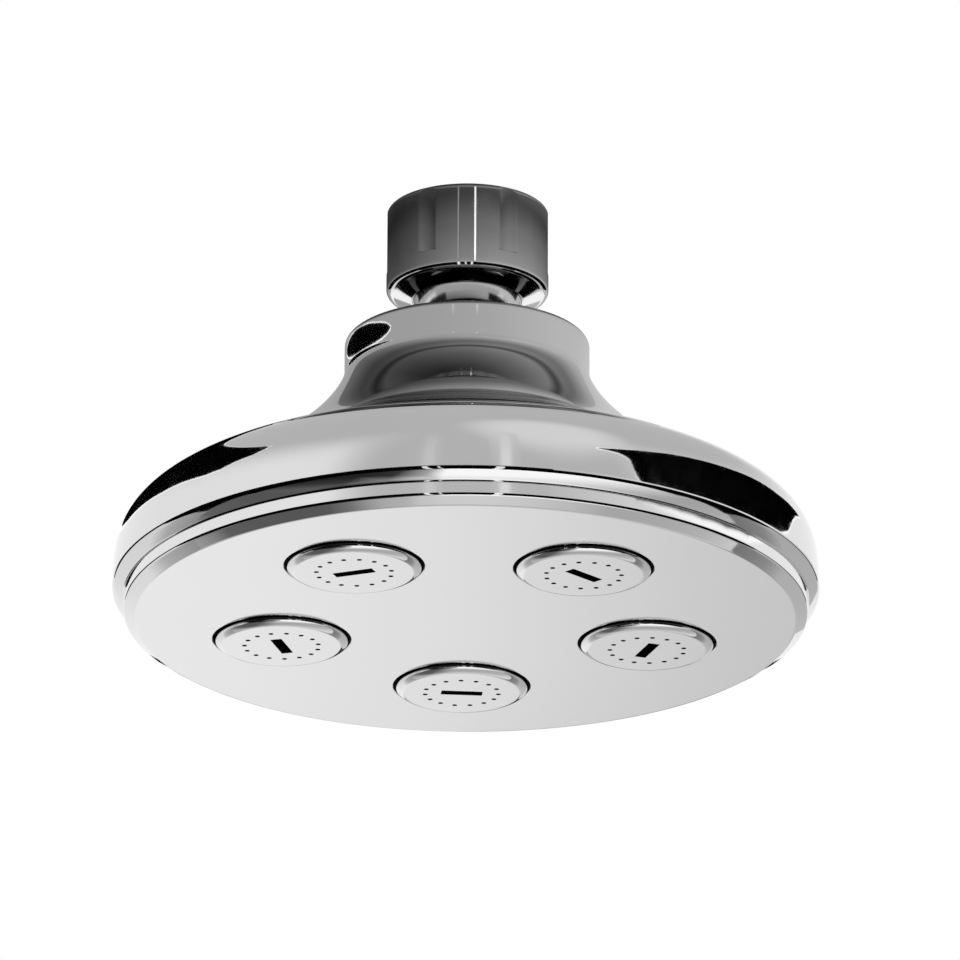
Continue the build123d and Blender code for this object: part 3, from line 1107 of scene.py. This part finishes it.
corners = [(x * FLOOR_REACH, y * FLOOR_REACH, FLOOR_Z) for x, y in ((-1, -1), (1, -1), (1, 1), (-1, 1))]
stage_object("floor", corners, [(0, 1, 2, 3)], floor_finish())

# Dark flags to the left and right, with bright edges, and a light strip low on the right
left_flag = [
    (-176, 0.044, 0.1), (-165, 0.042, 0.142), (-150, 0.046, 0.184), (-142, 0.049, 0.2),
    (-135, 0.055, 0.212), (-124, 0.0625, 0.222), (-115, 0.066, 0.22), (-105, 0.07, 0.211),
    (-98, 0.069, 0.198), (-90, 0.066, 0.182), (-83, 0.07, 0.167), (-79, 0.084, 0.158), (-73, 0.098, 0.146),
    (-70.5, 0.122, 0.138),
]
edged_flag("left_flag", 0.240, left_flag, edge=0.003, level=1.3)
right_flag = [
    (36, -0.0012, -0.0004), (39, -0.0024, 0.0014), (42, -0.0045, 0.0036), (43.5, -0.0078, 0.0046),
    (44.4, -0.0105, 0.0052), (44.8, -0.02, 0.0056), (45.4, -0.024, 0.006), (47, -0.0295, 0.0075),
    (55, -0.029, 0.0135), (62, -0.0285, 0.019), (70, -0.0279, 0.0232), (80, -0.0269, 0.0262),
    (90, -0.0254, 0.0273), (101, -0.0222, 0.0262), (108, -0.0175, 0.0222), (115, -0.007, 0.015),
    (121, -0.0005, 0.0104), (126, 0.0015, 0.0042),
]
edged_flag("right_flag", 0.136, right_flag, edge=0.0012, level=1.3, lowest=-0.0295)
side_columns = [(22, 0.62), (45, 0.8), (60, 0.92), (130, 0.92)]
curved_sheet("rim_light_right", 0.138, side_columns, [(-0.046, 1), (-0.027, 1)])

# Dark rings in front, close below the head's rim, with a few bright bits, and a thin dark ring at the horizon
rim_bits = [
    (-75, 0), (-8.9, 0), (-8.8, 1.1), (-7.8, 1.1), (-7.7, 0), (-5.8, 0), (-5.7, 0.8), (-5.3, 0.8),
    (-5.2, 0), (5.9, 0), (6.0, 1.1), (7.6, 1.1), (7.7, 0), (40, 0), (75, 0),
]
curved_sheet("front_flag", 0.078, rim_bits, [(-0.096, 1), (-0.0555, 1)])
nozzle_bits = [
    (-75, 0), (-40, 0), (-0.2, 0), (0, 1), (6, 1), (6.2, 0), (16.8, 0), (17, 1), (24, 1), (24.2, 0),
    (45, 0), (75, 0),
]
curved_sheet("low_front_flag", 0.120, nozzle_bits, [(-0.165, 1), (-0.085, 1)])
curved_card("horizon_ring", 3.0, even_arc(-152, 152, -0.60, 0.90, count=48))
curved_card("horizon_back", 3.0, even_arc(172, 188, 0.0, 0.64))
back_columns = [(171, 0.05), (179.5, 0.05), (180.5, 0.50), (189, 0.50)]
curved_sheet("back_line", 0.448, back_columns, [(-0.185, 1), (0.085, 1)])

# Grey screen far out in front, for what looks down past the rim
curved_card("front_screen", 2.0, even_arc(-75, 75, -1.4, 0.1, 0.42, 0.42))

# Hood round the nut and collar: light at its foot and dark above, inside a light outer skin
HOOD_RADIUS = 0.035
HOOD_LINING = 0.0343
HOOD_SKIN = 0.0356
HOOD_TOP = 0.030
HOOD_LID = 0.0306
HOOD_WAIST = -0.004
HOOD_FOOT = -0.0175
NUT_CARD_RADIUS = 0.0150
NUT_BACK_RADIUS = 0.0152
COLLAR_CARD_RADIUS = 0.0345
skirt_columns = [
    (-180, 0.85), (-150, 0.85), (-70, 0.9), (-18, 0.95), (14, 1.02), (38, 1.16), (72, 1.28), (120, 1.3),
    (180, 1.0),
]
skirt_rows = [(HOOD_FOOT, 0.50), (-0.011, 0.50), (HOOD_WAIST, 0.45)]
curved_sheet("hood_skirt", HOOD_RADIUS, skirt_columns, skirt_rows)
hood_columns = [
    (-180, 0.5), (-150, 0.35), (-100, 0.35), (-70, 0.5), (-40, 0.75), (-18, 0.95), (-5, 1.05), (5, 1.1),
    (20, 1.25), (40, 1.4), (80, 1.4), (120, 1.1), (150, 0.7), (180, 0.5),
]
hood_rows = [
    (HOOD_WAIST, 0.45), (0.0, 0.36), (0.003, 0.27), (0.008, 0.17), (0.0093, 0.155), (0.0155, 0.17),
    (0.020, 0.19), (HOOD_TOP, 0.21),
]
curved_sheet("hood", HOOD_RADIUS, hood_columns, hood_rows)
shade_rows = [
    (0.0075, 0.15), (0.009, 0.115), (0.01, 0.092), (0.0111, 0.07), (0.0125, 0.055), (0.015, 0.1),
    (0.02, 0.21),
]
curved_sheet("nut_shade", 0.030, hood_columns, shade_rows)
cap_rows = [(0.0351, 0.21), (0.0225, 0.11), (0.0113, 0.045), (0.004, 0.03), (0.0005, 0.03)]
graded_disc("hood_cap", HOOD_TOP, hood_columns, cap_rows)
curved_card("hood_skin", HOOD_SKIN, even_arc(-180, 180, HOOD_FOOT, HOOD_LID, 0.56, 0.6, count=72))
round_card("hood_lid", HOOD_SKIN, HOOD_LID, level=0.6)

# Thin lines of light down the nut, dark on their backs, and down the collar, and what shows at its sides
nut_lines = [("left", -7.9, -6.9, (0.36, 0.42, 0.30)), ("right", 5.2, 6.6, (1.2, 1.6, 1.2))]
for side, start, end, levels in nut_lines:
    line_rows = list(zip((-0.0060, -0.0045, 0.0080), levels))
    curved_sheet("nut_line_" + side, NUT_CARD_RADIUS, [(start, 1), (end, 1)], line_rows)
    back = even_arc(start - 0.05, end + 0.05, -0.0061, 0.0081, 0.05, 0.05, count=2)
    curved_card("nut_back_" + side, NUT_BACK_RADIUS, back)
for side, start, end, top in (("left", -10.2, -8.6, 0.72), ("right", 5.8, 7.4, 0.85)):
    line = even_arc(start, end, -0.0130, -0.0105, 0.5, top, count=2)
    curved_card("collar_line_" + side, COLLAR_CARD_RADIUS, line)
collar_lens = [
    (-122, -0.01, -0.009), (-117, -0.0112, -0.0087), (-112, -0.0119, -0.0086), (-104, -0.0127, -0.0087),
    (-97, -0.0132, -0.0089), (-91, -0.0135, -0.0092), (-83, -0.0138, -0.0097), (-77, -0.014, -0.0101),
    (-70.5, -0.0141, -0.0107), (-66, -0.014, -0.0111), (-63, -0.0139, -0.0114), (-59, -0.0136, -0.0119),
    (-57, -0.0132, -0.0124), (-56, -0.0129, -0.0127),
]
edged_flag("collar_lens", HOOD_LINING, collar_lens, edge=0.0003, level=1.2)
curved_card("corner_light_left", HOOD_LINING, even_arc(-165, -140, -0.022, -0.0155, 1.2, 1.2))
curved_card("corner_light_right", HOOD_LINING, even_arc(140, 165, -0.022, -0.0140, 1.2, 1.2))

# Dark rings close under the nut's foot and round the neck
foot_bits = [
    (-100, 0), (-8.4, 0), (-8.2, 1.2), (-6.4, 1.2), (-6.2, 0), (-2.2, 0), (-2, 1), (-1, 1), (-0.8, 0),
    (2.8, 0), (3, 1.2), (4.4, 1.2), (4.6, 0), (100, 0),
]
curved_sheet("foot_flag", 0.016, foot_bits, [(-0.010, 1), (-0.0068, 1)])
curved_card("foot_back", 0.0162, even_arc(-12, 9, -0.0101, -0.0067, 0.03, 0.03))
ring_card("neck_ring_high", 0.0069, 0.0094, height=-0.0125, start=-180, end=180)
ring_card("neck_ring_low", 0.0080, 0.0115, height=-0.0153, start=-180, end=180)
for side, start, end in (("left", -140, -40), ("right", 40, 140)):
    ring_card("neck_ring_" + side, 0.0135, 0.0196, height=-0.0156, start=start, end=end)

# Soft strip lights
for name, centre, peak, top in (("strip_left", -12.0, 0.74, 0.6), ("strip_right", 12.5, 0.9, 0.78)):
    profile = [(-5, 0.6), (-2.5, 0.64), (-1.0, peak), (1.0, peak), (2.5, 0.64), (5, 0.6)]
    curved_card(name, 1.5, [(centre + off, 0.45, 1.25, level, top) for off, level in profile])

# Light below, white in front, dark to the left and grey under the plate, and a bounce behind
BELOW_Z = -0.45
below_xs = (-0.42, -0.40, -0.16, -0.10, -0.055, -0.03, 0.12, 0.45)
below_rows = [
    (-0.28, (0.6, 0.02, 0.03, 0.05, 0.40, 1.30, 1.35, 1.35)),
    (-0.10, (0.6, 0.01, 0.02, 0.04, 0.50, 1.30, 1.30, 1.10)),
    (-0.05, (0.6, 0.02, 0.05, 0.30, 0.90, 1.00, 1.00, 0.80)),
    (0.0, (0.6, 0.12, 0.15, 0.50, 0.65, 0.67, 0.70, 0.60)),
    (0.04, (0.6, 0.12, 0.12, 0.30, 0.46, 0.48, 0.50, 0.50)),
    (0.10, (0.6, 0.14, 0.12, 0.28, 0.46, 0.50, 0.52, 0.50)),
    (0.19, (0.6, 0.16, 0.12, 0.34, 0.54, 0.58, 0.60, 0.56)),
    (0.29, (0.6, 0.40, 0.50, 0.62, 0.76, 0.80, 0.82, 0.76)),
    (0.45, (0.6, 0.60, 0.80, 0.90, 0.95, 0.95, 0.95, 0.90)),
]
below_points = [(x, y, BELOW_Z) for y, _ in below_rows for x in below_xs]
below_levels = [level for _, levels in below_rows for level in levels]
grid_card("below", len(below_xs), below_points, below_levels)
bounce_columns = [
    (90, 0.5), (150, 0.55), (165, 0.62), (173.5, 0.75), (180, 0.93), (186.5, 1.03), (195, 1.05), (215, 0.9),
    (270, 0.82),
]
bounce_rows = [(BELOW_Z, 0.4), (-0.34, 0.6), (-0.28, 1.0), (-0.08, 1.0)]
curved_sheet("bounce", 0.45, bounce_columns, bounce_rows)

PATCH_TOWARD = (0.361, -0.578, 0.731)


def surroundings():
    """White to the camera. In mirrors: grey above with a lighter patch, and white low at sides and back."""
    world = bpy.data.worlds.new("studio")
    bpy.context.scene.world = world
    world.use_nodes = True
    world.node_tree.nodes.clear()
    net = Net(world.node_tree)
    toward = net.node("ShaderNodeTexCoord")["Generated"]
    x, y, z = net.parts(toward)
    low_band = net.ramp_up(z, 0.42, 0.72, 1.0, 0.0)
    front = net.ramp_up(y - 0.2 * x, -0.75, -0.45, 1.0, 0.0)
    sockets = {0: toward, 1: PATCH_TOWARD}
    nearness = net.node("ShaderNodeVectorMath", {"operation": "DOT_PRODUCT"}, sockets)["Value"]
    patch = net.ramp_up(nearness, 0.90, 0.99)
    level = 0.60 + 0.40 * low_band * (1.0 - front) + 0.26 * patch
    seen = net.node("ShaderNodeLightPath")["Is Camera Ray"]
    strength = level + seen * (1.0 - level)
    shader = net.node("ShaderNodeBackground", None, {"Color": grey(1.0), "Strength": strength})
    net.node("ShaderNodeOutputWorld", None, {0: shader[0]})


surroundings()

floor_light = bpy.data.lights.new("floor_softbox", "AREA")
floor_light.shape = "DISK"
floor_light.size = 6.0
floor_light.energy = 260.0
overhead = bpy.data.objects.new("floor_softbox", floor_light)
overhead.location = (0.0, 0.0, 4.0)
overhead.visible_glossy = False
overhead.visible_camera = False
bpy.context.scene.collection.objects.link(overhead)

# Camera: below the head, in front, with a long lens
IMAGE_SIDE = 960
SENSOR_WIDTH = 36.0
FOCAL_PIXELS = 12556.19
CAMERA_DROP = radians(19.965)
CAMERA_DISTANCE = 2.0395
AIM_HEIGHT = -65.7 * MM
AIM_PIXEL = (466.41, 629.62)
CAMERA_ROLL = radians(0.287)

forward = Vector((0, cos(CAMERA_DROP), sin(CAMERA_DROP)))
right = Vector((1, 0, 0))
up = right.cross(forward)
aside = IMAGE_SIDE / 2 - AIM_PIXEL[0]
above = AIM_PIXEL[1] - IMAGE_SIDE / 2
sight = (forward * FOCAL_PIXELS + right * aside + up * above).normalized()

lens = bpy.data.cameras.new("camera")
lens.sensor_width = SENSOR_WIDTH
lens.lens = FOCAL_PIXELS * SENSOR_WIDTH / IMAGE_SIDE
lens.clip_start = 0.1
lens.clip_end = 60.0
camera = bpy.data.objects.new("camera", lens)
camera.location = Vector((0, 0, AIM_HEIGHT)) - forward * CAMERA_DISTANCE
across = sight.cross(up).normalized()
upright = across.cross(sight)
pose = Matrix((across, upright, -sight)).transposed()
camera.rotation_mode = "QUATERNION"
camera.rotation_quaternion = (pose @ Matrix.Rotation(CAMERA_ROLL, 3, "Z")).to_quaternion()
bpy.context.scene.collection.objects.link(camera)
bpy.context.scene.camera = camera
bpy.context.scene.view_settings.view_transform = "Standard"
